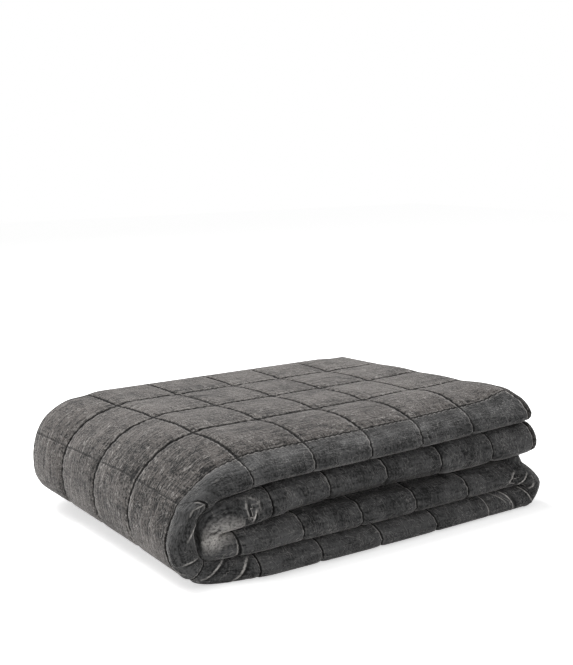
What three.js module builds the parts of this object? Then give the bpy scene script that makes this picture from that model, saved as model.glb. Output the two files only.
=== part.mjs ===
// A quilted bedspread with a bound edge, folded into a flat stack. Millimetres, +Z up.
//
// The cloth is folded in four across its width, which makes a strip of four plies with one round
// outer fold along the front. The strip is then folded in four along its length, which makes four
// layers: the top layer goes round the outer wrap on the left into the bottom layer, that one turns
// back at the right fold into the third layer, and the third goes round the inner wrap into the
// second. Both foldings are walked as straight runs and half turns, and the even stack that they
// give is then settled into the uneven shape in which the cloth lies.
import * as THREE from 'three';

// ---- Driving dimensions ----

const QUILT_THICKNESS = 9.1;
const PLY_GAP = 0.6; // air between two plies of the strip
const LAYER_GAP = 1.0; // air between two layers of the stack
const BINDING = { width: 10, seamGap: 0.3, edgeThickness: 6.4 };

// Where the folds and ends stand before the cloth settles. x grows to the right, y to the back.
const ACROSS = { frontTurn: 34, topHem: 454, innerHem: 465, backTurn: 471 };
const ALONG = { wrapTurn: -430, rightTurn: 78, topEnd: 119, secondEnd: 120 };

// Cuts along the straight runs. Every ply and layer is cut at the same places, so facets nest.
const CUTS_ACROSS = [70, 120, 210, 320, 432];
const CUTS_ALONG = [-360, -260, -150, -40, 40];
const TURN_STEPS = { front: 8, back: 4, wrap: 8, right: 5 };

// ---- Sizes that follow ----

const PLY_PITCH = QUILT_THICKNESS + PLY_GAP;
const STRIP_THICKNESS = 4 * PLY_PITCH - PLY_GAP;
const LAYER_PITCH = STRIP_THICKNESS + LAYER_GAP;
const STACK_HEIGHT = 4 * LAYER_PITCH - LAYER_GAP;
const TOP_LAYER_Z = STACK_HEIGHT - STRIP_THICKNESS / 2;

// ---- Shape of the settled stack ----

// Height of each layer's lower and upper face along the front, in the middle of the stack, how much
// each rises for every 100 mm to the right, and its bow. Away from the front the heights are even.
const FRONT_MIDDLE_X = -200;
const FRONT_LAYERS = [
  {
    layer: 'bottom',
    lower: { height: 0, rise: 0, bow: 0 },
    upper: { height: 27.8, rise: -0.9, bow: 0.37 },
  },
  {
    layer: 'third',
    lower: { height: 28.8, rise: -0.75, bow: 0.42 },
    upper: { height: 62.9, rise: -1.1, bow: -0.37 },
  },
  {
    layer: 'second',
    lower: { height: 69.0, rise: 1.0, bow: -0.09 },
    upper: { height: 108.5, rise: 2.25, bow: 0.08 },
  },
  {
    layer: 'top',
    lower: { height: 110.2, rise: 1.6, bow: 0.26 },
    upper: { height: 138.0, rise: 1.7, bow: -0.12 },
  },
];
const FRONT_SPAN = { left: -3, right: 3.4 }; // how far rise and bow go on, in 100 mm

// y over which the front heights fade out, and x over which that narrows to its end at the right.
const FRONT_SHOULDER = { start: -9, end: 208, rightEnd: 73 };
const SHOULDER_NARROWS = { start: -100, end: 120 };

// How far back the front edges of the bottom and the top layer stand, how much of that lean is left
// at the rear, and how the front edges wave.
const FRONT_LEAN = { bottom: -32.7, top: 1.6, leftAtRear: 0.4 };
const FRONT_WAVE = { height: 1.6, length: 610, turnPerLayer: 1.9 };

// The wraps on the left. Reach is how far left a radius of the even turn is drawn: the plies are
// pulled tight there and the crease inside the inner wrap runs on. Roundness is 2 for a circle and
// more for a squarer turn. Both go evenly from the inner wrap's skin to the outer wrap's. The middle
// of the wrap sags, its rear is skewed to the right, and its front edge turns back.
const WRAP_RADII = { inner: 38, outer: 78 };
const WRAP_REACH = { centre: 20, inner: 51.2, outerFront: 88.8, outerRear: 67 };
const WRAP_UPPER = { inner: 2.7, outer: 1.37, rear: 2.45 };
const WRAP_LOWER = { inner: 4.5, outer: 2.93, rear: 2.5 };
const WRAP_SAG = { front: 11.5, rear: 14.6, start: -338, end: -530 };
const WRAP_SKEW = { shift: 9.4, start: -300, end: -470 };
const WRAP_CORNER = { depth: 24.3, start: -389, end: -473, fade: 62 };

// The foot of the wrap lifts off the surface, most at the rear. The top falls towards the wrap and
// rises at its free end.
const WRAP_LIFT = { front: 0.4, rear: 19.5, start: -358, end: -513 };
const TOP_FALL = { depth: 18.3, start: -373, end: -480 };
const TOP_RISE = { height: 7.2, start: 29, end: 171 };

// The right fold is a little more pointed than a circle.
const RIGHT_FOLD_ROUNDNESS = 1.41;

// ---- Small helpers ----

function clamp(value, low, high) {
  return Math.min(high, Math.max(low, value));
}

function mix(from, to, share) {
  return from + (to - from) * share;
}

function smooth(from, to, value) {
  const t = clamp((value - from) / (to - from), 0, 1);
  return t * t * (3 - 2 * t);
}

// Reads a straight-line table of [place, value] pairs, held level past its ends.
function lookUp(pairs, place) {
  if (place <= pairs[0][0]) return pairs[0][1];
  for (let i = 1; i < pairs.length; i += 1) {
    const [a, va] = pairs[i - 1];
    const [b, vb] = pairs[i];
    if (place <= b) return va + ((vb - va) * (place - a)) / (b - a);
  }
  return pairs[pairs.length - 1][1];
}

// ---- Folding ----

// Walks a folded line in a plane. A run goes straight on through its cuts, and a turn goes half way
// round. Returns the distances of the cuts, a function that gives the point and outer normal, and
// one that tells which way the line goes: 1 for right, back or up there, and -1 for the reverse.
function foldedLine(start, pieces) {
  let { a, b, heading } = start;
  let distance = 0;
  const laid = [];
  const cuts = [0];
  for (const piece of pieces) {
    const from = { a, b, heading, distance };
    if (piece.run !== undefined) {
      a += Math.cos(heading) * piece.run;
      b += Math.sin(heading) * piece.run;
      distance += piece.run;
      for (const cut of piece.cuts) cuts.push(from.distance + cut);
    } else {
      a -= 2 * piece.radius * Math.sin(heading) * piece.turn;
      b += 2 * piece.radius * Math.cos(heading) * piece.turn;
      heading += Math.PI * piece.turn;
      distance += Math.PI * piece.radius;
      for (let i = 1; i < piece.steps; i += 1) {
        cuts.push(from.distance + (Math.PI * piece.radius * i) / piece.steps);
      }
    }
    cuts.push(distance);
    laid.push({ ...piece, from, to: distance });
  }
  const pieceAt = (place) => laid.find((p) => place <= p.to + 1e-6) ?? laid[laid.length - 1];
  const way = (place) => {
    const piece = pieceAt(place);
    return Math.round(Math.cos(piece.from.heading)) * (piece.turn ?? 1);
  };
  const at = (place) => {
    const piece = pieceAt(place);
    const { from } = piece;
    const past = place - from.distance;
    if (piece.run !== undefined) {
      const ca = Math.cos(from.heading);
      const sa = Math.sin(from.heading);
      return { a: from.a + ca * past, b: from.b + sa * past, na: sa, nb: -ca };
    }
    const angle = from.heading + (past / piece.radius) * piece.turn;
    return {
      a: from.a + piece.turn * piece.radius * (Math.sin(angle) - Math.sin(from.heading)),
      b: from.b - piece.turn * piece.radius * (Math.cos(angle) - Math.cos(from.heading)),
      na: Math.sin(angle),
      nb: -Math.cos(angle),
    };
  };
  return { cuts, at, way, total: distance };
}

// A straight run between two places, cut at those of the given places that lie between them.
function run(from, to, places) {
  const sign = Math.sign(to - from);
  const between = places.filter((p) => (p - from) * sign > 1 && (to - p) * sign > 1);
  const cuts = between.map((p) => Math.abs(p - from)).sort((p, q) => p - q);
  return { run: Math.abs(to - from), cuts };
}

// Across the width, from the hem at the back of the outer ply: a is y, b is height in the strip.
const across = foldedLine({ a: ACROSS.topHem, b: 1.5 * PLY_PITCH, heading: Math.PI }, [
  run(ACROSS.topHem, ACROSS.frontTurn, CUTS_ACROSS),
  { turn: 1, radius: 1.5 * PLY_PITCH, steps: TURN_STEPS.front },
  run(ACROSS.frontTurn, ACROSS.backTurn, CUTS_ACROSS),
  { turn: 1, radius: 0.5 * PLY_PITCH, steps: TURN_STEPS.back },
  run(ACROSS.backTurn, ACROSS.frontTurn, CUTS_ACROSS),
  { turn: -1, radius: 0.5 * PLY_PITCH, steps: TURN_STEPS.front },
  run(ACROSS.frontTurn, ACROSS.innerHem, CUTS_ACROSS),
]);

// Along the length, from the end of the top layer: a is x, b is z, along the strip's middle.
const along = foldedLine({ a: ALONG.topEnd, b: TOP_LAYER_Z, heading: Math.PI }, [
  run(ALONG.topEnd, ALONG.wrapTurn, CUTS_ALONG),
  { turn: 1, radius: 1.5 * LAYER_PITCH, steps: TURN_STEPS.wrap },
  run(ALONG.wrapTurn, ALONG.rightTurn, CUTS_ALONG),
  { turn: 1, radius: 0.5 * LAYER_PITCH, steps: TURN_STEPS.right },
  run(ALONG.rightTurn, ALONG.wrapTurn, CUTS_ALONG),
  { turn: -1, radius: 0.5 * LAYER_PITCH, steps: TURN_STEPS.wrap },
  run(ALONG.wrapTurn, ALONG.secondEnd, CUTS_ALONG),
]);

// ---- Settling ----

// Takes a point of a round turn about its centre to a turn with another reach and roundness.
function reshapeTurn(dx, dz, roundness, reach) {
  const radius = Math.hypot(dx, dz);
  const power = Math.abs(dx / radius) ** roundness + Math.abs(dz / radius) ** roundness;
  const factor = power ** (-1 / roundness);
  return [(dx / radius) * factor * reach, dz * factor];
}

// Roundness and reach of the wraps at a radius of their even turn.
function wrapTurn(radius, rear, isUpper) {
  const size = isUpper ? WRAP_UPPER : WRAP_LOWER;
  const out = clamp((radius - WRAP_RADII.inner) / (WRAP_RADII.outer - WRAP_RADII.inner), 0, 1);
  const inside = clamp(radius / WRAP_RADII.inner, 0, 1);
  const outer = mix(WRAP_REACH.outerFront, WRAP_REACH.outerRear, rear);
  return {
    roundness: mix(mix(size.inner, size.outer, out), size.rear, rear),
    reach: mix(WRAP_REACH.centre, WRAP_REACH.inner, inside) + (outer - WRAP_REACH.inner) * out,
  };
}

function reshapeFolds(x, y, z) {
  const foldMiddle = STRIP_THICKNESS + LAYER_GAP / 2;
  const isWrap = x < ALONG.wrapTurn;
  const isRightFold = x > ALONG.rightTurn && z < 2 * foldMiddle;
  if (!isWrap && !isRightFold) return [x, z];
  const centreX = isWrap ? ALONG.wrapTurn : ALONG.rightTurn;
  const centreZ = isWrap ? STACK_HEIGHT / 2 : foldMiddle;
  const radius = Math.hypot(x - centreX, z - centreZ);
  const { roundness, reach } = isWrap
    ? wrapTurn(radius, y / ACROSS.backTurn, z > centreZ)
    : { roundness: RIGHT_FOLD_ROUNDNESS, reach: radius };
  const [dx, dz] = reshapeTurn(x - centreX, z - centreZ, roundness, reach);
  return [centreX + dx, centreZ + dz];
}

function settledHeight(x, y, z) {
  const { start, end } = SHOULDER_NARROWS;
  const atRight = clamp((x - start) / (end - start), 0, 1);
  const shoulderEnd = mix(FRONT_SHOULDER.end, FRONT_SHOULDER.rightEnd, atRight);
  const front = 1 - smooth(FRONT_SHOULDER.start, shoulderEnd, y);
  const right = clamp((x - FRONT_MIDDLE_X) / 100, FRONT_SPAN.left, FRONT_SPAN.right);
  const heights = [];
  FRONT_LAYERS.forEach((edge, i) => {
    const even = [i * LAYER_PITCH, i * LAYER_PITCH + STRIP_THICKNESS];
    [edge.lower, edge.upper].forEach(({ height, rise, bow }, face) => {
      const settled = height + rise * right + bow * right * right;
      heights.push([even[face], mix(even[face], settled, front)]);
    });
  });
  const share = z / STACK_HEIGHT;
  const rear = y / ACROSS.backTurn;
  const sagDepth = mix(WRAP_SAG.front, WRAP_SAG.rear, rear);
  const sag = sagDepth * smooth(WRAP_SAG.start, WRAP_SAG.end, x) * 4 * share * (1 - share);
  const fall = TOP_FALL.depth * smooth(TOP_FALL.start, TOP_FALL.end, x) * share * share;
  const rise = TOP_RISE.height * smooth(TOP_RISE.start, TOP_RISE.end, x) * share ** 4 * (1 - rear);
  const liftHeight = mix(WRAP_LIFT.front, WRAP_LIFT.rear, clamp(rear, 0, 1));
  const lift = liftHeight * smooth(WRAP_LIFT.start, WRAP_LIFT.end, x) * (1 - clamp(share, 0, 1)) ** 2;
  return lookUp(heights, z) - sag - fall + rise + lift;
}

function settle(evenX, y, evenZ) {
  const [x, z] = reshapeFolds(evenX, y, evenZ);
  const height = (z - STRIP_THICKNESS / 2) / (3 * LAYER_PITCH);
  const lean = FRONT_LEAN.bottom + (FRONT_LEAN.top - FRONT_LEAN.bottom) * height;
  const rear = y / ACROSS.backTurn;
  const turn = (FRONT_WAVE.turnPerLayer * z) / LAYER_PITCH;
  const wave = FRONT_WAVE.height * Math.sin((2 * Math.PI * x) / FRONT_WAVE.length + turn);
  const cornerFade = 1 - smooth(0, WRAP_CORNER.fade, y);
  const corner = WRAP_CORNER.depth * smooth(WRAP_CORNER.start, WRAP_CORNER.end, x) * cornerFade;
  const wrapSkew = WRAP_SKEW.shift * rear * smooth(WRAP_SKEW.start, WRAP_SKEW.end, x);
  return [
    x + wrapSkew,
    y + lean * (1 - (1 - FRONT_LEAN.leftAtRear) * rear) + wave * (1 - rear) + corner,
    settledHeight(x, y, z),
  ];
}

// A point of the cloth: u along its length, v across its width, w out from its middle surface.
function clothPoint(u, v, w) {
  const ply = across.at(v);
  const y = ply.a + w * ply.na;
  const strip = ply.b + w * ply.nb;
  const spine = along.at(u);
  return settle(spine.a + strip * spine.na, y, spine.b + strip * spine.nb);
}

// ---- Solids ----

function solid(points, triangles) {
  const geometry = new THREE.BufferGeometry();
  geometry.setAttribute('position', new THREE.Float32BufferAttribute(points.flat(), 3));
  geometry.setIndex(triangles.flat());
  geometry.computeVertexNormals();
  return geometry;
}

// The cuts of a folded line that lie inside a margin at both of its ends, with the margins' edges.
function cutsInside(line, margin) {
  const inside = line.cuts.filter((c) => c > margin + 1 && c < line.total - margin - 1);
  return [margin, ...inside, line.total - margin];
}

// The places [i, j] round the rim of a grid of cuts: along the first edge and on round the rest.
function rimOf(countU, countV) {
  const rim = [];
  for (let i = 0; i < countU - 1; i += 1) rim.push([i, 0]);
  for (let j = 0; j < countV - 1; j += 1) rim.push([countU - 1, j]);
  for (let i = countU - 1; i > 0; i -= 1) rim.push([i, countV - 1]);
  for (let j = countV - 1; j > 0; j -= 1) rim.push([0, j]);
  return rim;
}

// The quilted cloth: an outer and an inner skin joined round the rim.
function quiltedPanel() {
  const margin = BINDING.width + BINDING.seamGap;
  const us = cutsInside(along, margin);
  const vs = cutsInside(across, margin);
  const points = [];
  for (const side of [1, -1]) {
    for (const u of us) {
      for (const v of vs) points.push(clothPoint(u, v, (side * QUILT_THICKNESS) / 2));
    }
  }
  const outer = (i, j) => i * vs.length + j;
  const inner = (i, j) => (us.length + i) * vs.length + j;
  const triangles = [];
  const quad = (p, q, r, s) => triangles.push([p, q, r], [p, r, s]);
  // Quads that lie on each other are split along the same diagonal, so that their facets nest.
  for (let i = 0; i < us.length - 1; i += 1) {
    for (let j = 0; j < vs.length - 1; j += 1) {
      const wayU = along.way((us[i] + us[i + 1]) / 2);
      const wayV = across.way((vs[j] + vs[j + 1]) / 2);
      const corners = [[i, j], [i + 1, j], [i + 1, j + 1], [i, j + 1]];
      if (wayU * wayV < 0) corners.push(corners.shift());
      const [p, q, r, s] = corners;
      quad(outer(...p), outer(...q), outer(...r), outer(...s));
      quad(inner(...p), inner(...s), inner(...r), inner(...q));
    }
  }
  const rim = rimOf(us.length, vs.length);
  rim.forEach((here, k) => {
    const next = rim[(k + 1) % rim.length];
    quad(inner(...here), inner(...next), outer(...next), outer(...here));
  });
  return solid(points, triangles);
}

// The binding: one closed strip round the rim, mitred at the corners, thinner at its outer edge.
function edgeBinding() {
  const us = cutsInside(along, BINDING.width);
  const vs = cutsInside(across, BINDING.width);
  const toEdge = (cuts, k, total) => {
    if (k === 0) return 0;
    return k === cuts.length - 1 ? total : cuts[k];
  };
  const points = [];
  const rim = rimOf(us.length, vs.length);
  for (const [i, j] of rim) {
    const edgeU = toEdge(us, i, along.total);
    const edgeV = toEdge(vs, j, across.total);
    points.push(clothPoint(us[i], vs[j], QUILT_THICKNESS / 2));
    points.push(clothPoint(edgeU, edgeV, BINDING.edgeThickness / 2));
    points.push(clothPoint(edgeU, edgeV, -BINDING.edgeThickness / 2));
    points.push(clothPoint(us[i], vs[j], -QUILT_THICKNESS / 2));
  }
  const sides = 4;
  const triangles = [];
  rim.forEach((_, k) => {
    const next = (k + 1) % rim.length;
    for (let side = 0; side < sides; side += 1) {
      const turn = (side + 1) % sides;
      const [p, q] = [k * sides + side, k * sides + turn];
      const [r, s] = [next * sides + turn, next * sides + side];
      triangles.push([p, q, r], [p, r, s]);
    }
  });
  return solid(points, triangles);
}

// ---- The bedspread, standing on z = 0 with its origin under the middle of its box ----

const velvet = new THREE.MeshStandardMaterial({ color: 0x4b4746, roughness: 0.92, metalness: 0 });
const bindingVelvet = new THREE.MeshStandardMaterial({ color: 0x403c3b, roughness: 0.9, metalness: 0 });

const panel = new THREE.Mesh(quiltedPanel(), velvet);
panel.name = 'quilted_panel';
const binding = new THREE.Mesh(edgeBinding(), bindingVelvet);
binding.name = 'edge_binding';

const bedspread = new THREE.Group();
bedspread.add(panel, binding);
const box = new THREE.Box3().setFromObject(bedspread);
const middle = box.getCenter(new THREE.Vector3());
bedspread.position.set(-middle.x, -middle.y, -box.min.z);

export default bedspread;
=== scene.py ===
"""A quilted velvet bedspread with a bound edge, folded into a flat stack of thick rounded layers.

Lengths of the cloth are in millimetres, as its maker gives them, and become metres when a mesh is
made. u runs along the cloth's length, v across its width, and w out from its middle surface.
"""

import math

import bmesh
import bpy
import numpy as np
from mathutils import Matrix, Vector


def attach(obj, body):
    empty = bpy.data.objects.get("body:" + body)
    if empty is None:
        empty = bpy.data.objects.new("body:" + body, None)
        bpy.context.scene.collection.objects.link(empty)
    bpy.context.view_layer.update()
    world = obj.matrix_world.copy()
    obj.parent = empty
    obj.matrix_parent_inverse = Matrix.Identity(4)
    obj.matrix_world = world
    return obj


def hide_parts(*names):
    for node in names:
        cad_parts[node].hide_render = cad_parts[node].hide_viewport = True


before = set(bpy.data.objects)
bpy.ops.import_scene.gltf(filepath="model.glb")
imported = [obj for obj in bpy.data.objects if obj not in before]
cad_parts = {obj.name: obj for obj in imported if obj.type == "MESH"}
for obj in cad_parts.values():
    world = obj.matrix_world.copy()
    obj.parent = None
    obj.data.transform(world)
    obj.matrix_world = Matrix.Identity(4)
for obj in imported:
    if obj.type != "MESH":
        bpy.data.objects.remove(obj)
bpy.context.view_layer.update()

MM = 0.001

# ---- Sizes of the cloth and its folding, as in the CAD ----

QUILT_THICKNESS = 9.1
PLY_GAP = 0.6
LAYER_GAP = 1.0
BINDING_WIDTH = 10.0
SEAM_GAP = 0.3

FRONT_TURN, TOP_HEM, INNER_HEM, BACK_TURN = 34.0, 454.0, 465.0, 471.0
WRAP_TURN, RIGHT_TURN, TOP_END, SECOND_END = -430.0, 78.0, 119.0, 120.0

PLY_PITCH = QUILT_THICKNESS + PLY_GAP
STRIP_THICKNESS = 4 * PLY_PITCH - PLY_GAP
LAYER_PITCH = STRIP_THICKNESS + LAYER_GAP
STACK_HEIGHT = 4 * LAYER_PITCH - LAYER_GAP
TOP_LAYER_Z = STACK_HEIGHT - STRIP_THICKNESS / 2

# Front edges of the layers, from the bottom one up: height of the lower and the upper face in the
# middle of the stack, its rise for every 100 mm to the right, and its bow.
FRONT_MIDDLE_X = -200.0
FRONT_LAYERS = (
    {"lower": (0, 0, 0), "upper": (27.8, -0.9, 0.37)},
    {"lower": (28.8, -0.75, 0.42), "upper": (62.9, -1.1, -0.37)},
    {"lower": (69.0, 1.0, -0.09), "upper": (108.5, 2.25, 0.08)},
    {"lower": (110.2, 1.6, 0.26), "upper": (138.0, 1.7, -0.12)},
)
FRONT_SPAN = (-3.0, 3.4)  # how far rise and bow go on to the left and right, in 100 mm

# Away from the front the heights are even: y where that starts and ends, and the end at the right.
FRONT_SHOULDER = {"start": -9.0, "end": 208.0, "right_end": 73.0}
SHOULDER_NARROWS = (-100.0, 120.0)

FRONT_LEAN = {"bottom": -32.7, "top": 1.6, "left_at_rear": 0.4}
FRONT_WAVE = {"height": 1.6, "length": 610.0, "turn_per_layer": 1.9}

# The wraps on the left. Reach is how far left a radius of the even turn is drawn, and roundness is
# 2 for a circle and more for a squarer turn. Both go evenly from the inner wrap's skin to the outer
# one's. Past that skin the reach carries on, so that puffs stand out from the wrap.
WRAP_RADII = {"inner": 38.0, "outer": 78.0, "puffs": 98.0}
WRAP_REACH = {"centre": 20.0, "inner": 51.2, "outer_front": 88.8, "outer_rear": 67.0, "puffs": 20.0}
WRAP_UPPER = {"inner": 2.7, "outer": 1.37, "rear": 2.45}
WRAP_LOWER = {"inner": 4.5, "outer": 2.93, "rear": 2.5}
WRAP_SAG = {"front": 11.5, "rear": 14.6, "start": -338.0, "end": -530.0}
WRAP_SKEW = {"shift": 9.4, "start": -300.0, "end": -470.0}
WRAP_CORNER = {"depth": 24.3, "start": -389.0, "end": -473.0, "fade": 62.0}
WRAP_LIFT = {"front": 0.4, "rear": 19.5, "start": -358.0, "end": -513.0}
TOP_FALL = {"depth": 18.3, "start": -373.0, "end": -480.0}
TOP_RISE = {"height": 7.2, "start": 29.0, "end": 171.0}
RIGHT_FOLD_ROUNDNESS = 1.41

# Middle of the stack's box in the folding's own coordinates: the part's origin is under it.
STACK_MIDDLE = (-198.2289, 230.4372)

# ---- Quilting ----

SQUARE = 100.0


def smooth(start, end, value):
    t = np.clip((value - start) / (end - start), 0, 1)
    return t * t * (3 - 2 * t)


# ---- Folding ----


class FoldedLine:
    """A line in a plane that goes straight on and turns half round. at() gives its points."""

    def __init__(self, a, b, heading, pieces):
        self.laid = []
        place = 0.0
        for kind, size, way in pieces:
            length = size if kind == "run" else math.pi * size
            self.laid.append((place, place + length, a, b, heading, kind, size, way))
            if kind == "run":
                a += math.cos(heading) * size
                b += math.sin(heading) * size
            else:
                a -= 2 * size * math.sin(heading) * way
                b += 2 * size * math.cos(heading) * way
                heading += math.pi * way
            place += length
        self.total = place

    def at(self, place):
        """Point (a, b) and outer normal (na, nb) at each distance in the array place."""
        a, b, na, nb = (np.zeros_like(place) for _ in range(4))
        for k, (start, end, a0, b0, heading, kind, size, way) in enumerate(self.laid):
            mine = place <= end if k == 0 else place > start
            past = place[mine] - start
            if kind == "run":
                a[mine] = a0 + math.cos(heading) * past
                b[mine] = b0 + math.sin(heading) * past
                na[mine] = math.sin(heading)
                nb[mine] = -math.cos(heading)
            else:
                angle = heading + past / size * way
                a[mine] = a0 + way * size * (np.sin(angle) - math.sin(heading))
                b[mine] = b0 - way * size * (np.cos(angle) - math.cos(heading))
                na[mine] = np.sin(angle)
                nb[mine] = -np.cos(angle)
        return a, b, na, nb

    def starts(self):
        return [piece[0] for piece in self.laid]


across = FoldedLine(TOP_HEM, 1.5 * PLY_PITCH, math.pi, (
    ("run", TOP_HEM - FRONT_TURN, 0),
    ("turn", 1.5 * PLY_PITCH, 1),
    ("run", BACK_TURN - FRONT_TURN, 0),
    ("turn", 0.5 * PLY_PITCH, 1),
    ("run", BACK_TURN - FRONT_TURN, 0),
    ("turn", 0.5 * PLY_PITCH, -1),
    ("run", INNER_HEM - FRONT_TURN, 0),
))
along = FoldedLine(TOP_END, TOP_LAYER_Z, math.pi, (
    ("run", TOP_END - WRAP_TURN, 0),
    ("turn", 1.5 * LAYER_PITCH, 1),
    ("run", RIGHT_TURN - WRAP_TURN, 0),
    ("turn", 0.5 * LAYER_PITCH, 1),
    ("run", RIGHT_TURN - WRAP_TURN, 0),
    ("turn", 0.5 * LAYER_PITCH, -1),
    ("run", SECOND_END - WRAP_TURN, 0),
))


def wrap_turn(radius, rear, upper):
    """Roundness and reach of the wraps at each radius of their even turn."""
    out = np.clip((radius - WRAP_RADII["inner"]) / (WRAP_RADII["outer"] - WRAP_RADII["inner"]), 0, 1)
    roundness = []
    for size in (WRAP_UPPER, WRAP_LOWER):
        front = size["inner"] + (size["outer"] - size["inner"]) * out
        roundness.append(front + (size["rear"] - front) * rear)
    reach = WRAP_REACH
    outer = reach["outer_front"] + (reach["outer_rear"] - reach["outer_front"]) * rear
    inside = np.clip(radius / WRAP_RADII["inner"], 0, 1)
    past = np.clip((radius - WRAP_RADII["outer"]) / (WRAP_RADII["puffs"] - WRAP_RADII["outer"]), 0, 1)
    drawn = reach["centre"] + (reach["inner"] - reach["centre"]) * inside
    drawn = drawn + (outer - reach["inner"]) * out + reach["puffs"] * past
    return np.where(upper, *roundness), drawn


def reshape_folds(x, y, z):
    """Draws the round turns of the wraps and of the right fold to their real reach."""
    fold_middle = STRIP_THICKNESS + LAYER_GAP / 2
    wrap = x < WRAP_TURN
    fold = (x > RIGHT_TURN) & (z < 2 * fold_middle)
    centre_x = np.where(wrap, WRAP_TURN, RIGHT_TURN)
    centre_z = np.where(wrap, STACK_HEIGHT / 2, fold_middle)
    dx, dz = x - centre_x, z - centre_z
    radius = np.maximum(np.hypot(dx, dz), 1e-6)
    wrap_roundness, wrap_reach = wrap_turn(radius, y / BACK_TURN, dz > 0)
    roundness = np.where(wrap, wrap_roundness, RIGHT_FOLD_ROUNDNESS)
    reach = np.where(wrap, wrap_reach, radius)
    power = np.abs(dx / radius) ** roundness + np.abs(dz / radius) ** roundness
    factor = power ** (-1 / roundness)
    turned = wrap | fold
    new_x = np.where(turned, centre_x + dx / radius * factor * reach, x)
    new_z = np.where(turned, centre_z + dz * factor, z)
    return new_x, new_z


def settled_height(x, y, z):
    """Height of a point of the even stack once its front, its wrap and its free end have settled."""
    at_right = np.interp(x, SHOULDER_NARROWS, (0, 1))
    end = FRONT_SHOULDER["end"] + (FRONT_SHOULDER["right_end"] - FRONT_SHOULDER["end"]) * at_right
    front = 1 - smooth(FRONT_SHOULDER["start"], end, y)
    right = np.clip((x - FRONT_MIDDLE_X) / 100, *FRONT_SPAN)
    even, settled = [], []
    for i, faces in enumerate(FRONT_LAYERS):
        for level, (height, rise, bow) in (
            (i * LAYER_PITCH, faces["lower"]),
            (i * LAYER_PITCH + STRIP_THICKNESS, faces["upper"]),
        ):
            even.append(level)
            settled.append(level + front * (height + rise * right + bow * right ** 2 - level))
    height = z - np.clip(z, 0, STACK_HEIGHT)
    inside = np.clip(z, 0, STACK_HEIGHT)
    picked = np.clip(np.searchsorted(even, inside, side="right") - 1, 0, len(even) - 2)
    for k in range(len(even) - 1):
        share = (inside - even[k]) / (even[k + 1] - even[k])
        here = settled[k] + (settled[k + 1] - settled[k]) * share
        height = height + np.where(picked == k, here, 0)
    share = z / STACK_HEIGHT
    rear = y / BACK_TURN
    sag_depth = WRAP_SAG["front"] + (WRAP_SAG["rear"] - WRAP_SAG["front"]) * rear
    sag = sag_depth * smooth(WRAP_SAG["start"], WRAP_SAG["end"], x) * 4 * share * (1 - share)
    fall = TOP_FALL["depth"] * smooth(TOP_FALL["start"], TOP_FALL["end"], x) * share * share
    rise = smooth(TOP_RISE["start"], TOP_RISE["end"], x) * share ** 4 * (1 - rear)
    lift_height = WRAP_LIFT["front"] + (WRAP_LIFT["rear"] - WRAP_LIFT["front"]) * np.clip(rear, 0, 1)
    lift = lift_height * smooth(WRAP_LIFT["start"], WRAP_LIFT["end"], x)
    lift = lift * (1 - inside / STACK_HEIGHT) ** 2
    return height - sag - fall + TOP_RISE["height"] * rise + lift


def settle(even_x, y, even_z):
    """Moves the points of the even stack to where they lie once its folds and layers settle."""
    x, z = reshape_folds(even_x, y, even_z)
    height = (z - STRIP_THICKNESS / 2) / (3 * LAYER_PITCH)
    lean = FRONT_LEAN["bottom"] + (FRONT_LEAN["top"] - FRONT_LEAN["bottom"]) * height
    rear = y / BACK_TURN
    turn = FRONT_WAVE["turn_per_layer"] * z / LAYER_PITCH
    wave = FRONT_WAVE["height"] * np.sin(2 * math.pi * x / FRONT_WAVE["length"] + turn)
    corner = smooth(WRAP_CORNER["start"], WRAP_CORNER["end"], x)
    corner = corner * WRAP_CORNER["depth"] * (1 - smooth(0, WRAP_CORNER["fade"], y))
    wrap_skew = WRAP_SKEW["shift"] * rear * smooth(WRAP_SKEW["start"], WRAP_SKEW["end"], x)
    return (
        x + wrap_skew,
        y + lean * (1 - (1 - FRONT_LEAN["left_at_rear"]) * rear) + wave * (1 - rear) + corner,
        settled_height(x, y, z),
    )


def cloth_points(u, v, w):
    """Points of the folded cloth, in metres in the part's frame, for arrays of u, v and w."""
    y0, strip0, ny, nstrip = across.at(v)
    y = y0 + w * ny
    strip = strip0 + w * nstrip
    x0, z0, nx, nz = along.at(u)
    x, y, z = settle(x0 + strip * nx, y, z0 + strip * nz)
    return np.stack([x - STACK_MIDDLE[0], y - STACK_MIDDLE[1], z], -1) * MM


# ---- Quilting seams ----

# Cross seams, as distances u from the top layer's hem. On the wraps the outer skin is longer than
# the strip's middle, so the seams there stand closer in u than their 100 mm on the skin. The cloth
# has slipped a little as it was folded: each cross seam on the top runs askew, by its first slip
# at the rear and by its second one under the front shoulder.
TOP_SEAMS = (
    {"u": 111.0, "rear_slip": 9.0, "front_slip": 15.0},
    {"u": 210.0, "rear_slip": 9.0, "front_slip": 18.0},
    {"u": 304.0, "rear_slip": 6.0, "front_slip": 18.0},
    {"u": 407.0, "rear_slip": 8.0, "front_slip": 12.0},
    {"u": 515.0, "rear_slip": 9.0, "front_slip": 3.0},
    {"u": 600.0, "rear_slip": 5.0, "front_slip": -22.0},
)
SLIP_ENDS = (20.0, 645.0)
LEFT_ROW = TOP_SEAMS[-1]["u"]
WRAP_FOOT = 687.0
BOTTOM_SEAMS = [752.0, 848.0, 950.0, 1053.0, 1156.0]
RIGHT_FOLD_SEAM = 1238.0
THIRD_SEAMS = [1322.0, 1418.0, 1519.0, 1618.0, 1719.0, 1812.0]
INNER_WRAP = 1859.0
SECOND_SEAMS = [1925.0, 2021.0, 2121.0, 2222.0, 2325.0]
CROSS_SEAMS = [seam["u"] for seam in TOP_SEAMS] + [WRAP_FOOT] + BOTTOM_SEAMS + [RIGHT_FOLD_SEAM]
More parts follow.
